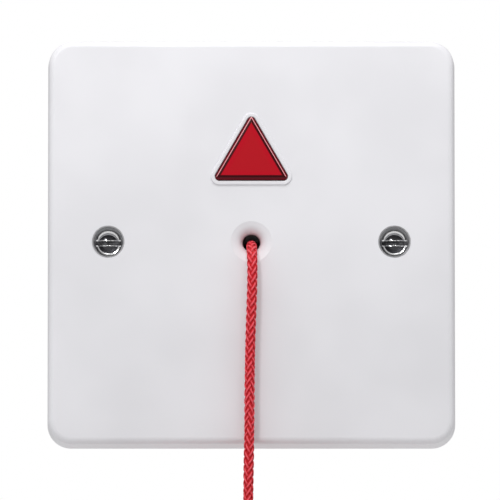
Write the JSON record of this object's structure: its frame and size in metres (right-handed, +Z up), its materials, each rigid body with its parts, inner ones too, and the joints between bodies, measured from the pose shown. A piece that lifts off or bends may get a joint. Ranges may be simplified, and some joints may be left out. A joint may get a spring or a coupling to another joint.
{
  "type": "emergency pull cord alarm",
  "caption": "Square white wall plate with a red triangular indicator, two metal-eyeleted fixing screws and a red braided pull cord working a switch behind it.",
  "frame": {"origin": "midway between the two fixing screws, in the wall plane", "axes": "+Z up, +X to the right seen from the room, -Y out of the wall into the room"},
  "size_m": [0.086, 0.0447, 0.2681],
  "materials": {
    "white_moulding": "soft gloss",
    "nickel": "bright nickel",
    "red_lens": "polished, tinted through",
    "white_inner": "moulded",
    "led_resin": "clear tinted resin",
    "green_board": "solder mask",
    "black_nylon": "fine moulded",
    "green_terminal": "moulded",
    "spring_steel": "drawn wire",
    "zinc_steel": "zinc plated",
    "tinned_brass": "tinned",
    "blue_lacquer": "lacquered",
    "red_braid": "braided polyester",
    "white_tie": "soft",
    "red_moulding": "moulded"
  },
  "bodies": {
    "wall_plate": {"faceplate": "white_moulding", "fixing_eyelet_left": "nickel", "fixing_eyelet_right": "nickel", "fixing_screw_left": "nickel", "fixing_screw_right": "nickel", "indicator_lens": "red_lens", "light_shroud": "white_inner", "indicator_led": "led_resin", "circuit_board": "green_board", "guide_housing": "black_nylon", "terminal_block": "green_terminal", "switch_body": "black_nylon", "diode": "black_nylon", "capacitor": "black_nylon", "return_spring": "spring_steel", "board_screw_1": "zinc_steel", "board_screw_2": "zinc_steel", "board_screw_3": "zinc_steel", "board_screw_4": "zinc_steel", "terminal_screw_1": "zinc_steel", "terminal_screw_2": "zinc_steel", "terminal_screw_3": "zinc_steel", "terminal_screw_4": "zinc_steel", "wire_clamp_1": "zinc_steel", "wire_clamp_2": "zinc_steel", "wire_clamp_3": "zinc_steel", "wire_clamp_4": "zinc_steel", "switch_pin_1": "tinned_brass", "switch_pin_2": "tinned_brass", "switch_pin_3": "tinned_brass", "resistor_1": "blue_lacquer", "resistor_2": "blue_lacquer", "resistor_3": "blue_lacquer"},
    "pull_plunger": {"plunger": "white_inner", "retaining_clip": "spring_steel", "stop_knot": "red_braid", "pull_cord": "red_braid", "cord_hank": "red_braid", "hank_tie": "white_tie", "cord_tail": "red_braid", "upper_pull": "red_moulding", "upper_knot": "red_braid", "lower_pull": "red_moulding", "lower_knot": "red_braid"},
    "switch_lever": {"switch_lever": "spring_steel"},
    "switch_button": {"switch_button": "red_moulding"}
  },
  "joints": [
    {"name": "cord_pull", "type": "slide", "parent": "wall_plate", "child": "pull_plunger", "axis": [0, -1, 0], "range_m": [0, 0.0035], "stiffness_N_per_m": 900, "springref_m": -0.004, "deforming": ["return_spring"]},
    {"name": "lever_pivot", "type": "hinge", "parent": "wall_plate", "child": "switch_lever", "pos_m": [0, 0.01575, -0.0285], "axis": [1, 0, 0], "range_deg": [0, 10.03]},
    {"name": "button_press", "type": "slide", "parent": "wall_plate", "child": "switch_button", "axis": [0, -1, 0], "range_m": [0, 0.000875]}
  ],
  "couplings": [
    {"joint": "lever_pivot", "follows": "cord_pull", "rad_per_m": 50},
    {"joint": "button_press", "follows": "cord_pull", "ratio": 0.25}
  ]
}
